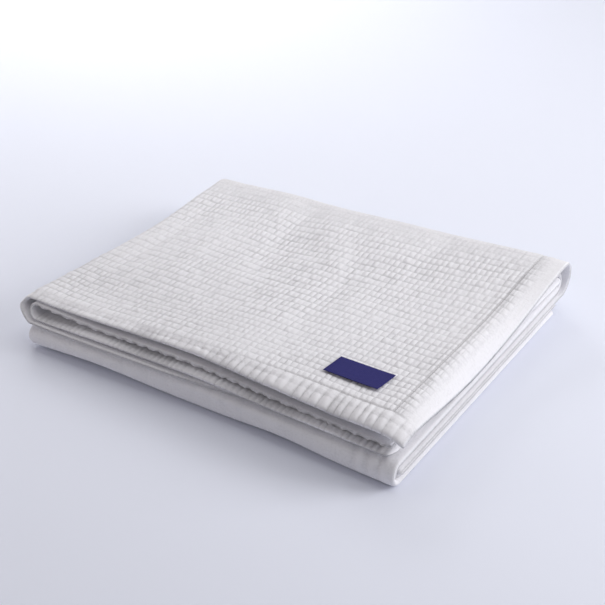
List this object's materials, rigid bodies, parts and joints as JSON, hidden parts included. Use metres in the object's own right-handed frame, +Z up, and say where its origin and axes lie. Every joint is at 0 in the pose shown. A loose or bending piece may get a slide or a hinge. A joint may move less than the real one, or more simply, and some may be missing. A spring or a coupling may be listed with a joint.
{
  "type": "folded blanket",
  "caption": "Folded matelasse cotton blanket, white with raised woven rows, hemmed edges and a small bare navy label near one corner; lies flat as a soft stack.",
  "frame": {"origin": "centre of the stack's bounding box in plan, on the flat underside that it rests on", "axes": "+X along the hemmed front towards the label's end, +Y from the hemmed front to the long turn at the back, +Z up"},
  "size_m": [0.436, 0.354, 0.063],
  "materials": {
    "cotton": "matt woven cotton",
    "label_weave": "fine woven, soft satin"
  },
  "bodies": {
    "root": {"blanket": "cotton", "label": "label_weave"}
  },
  "joints": []
}
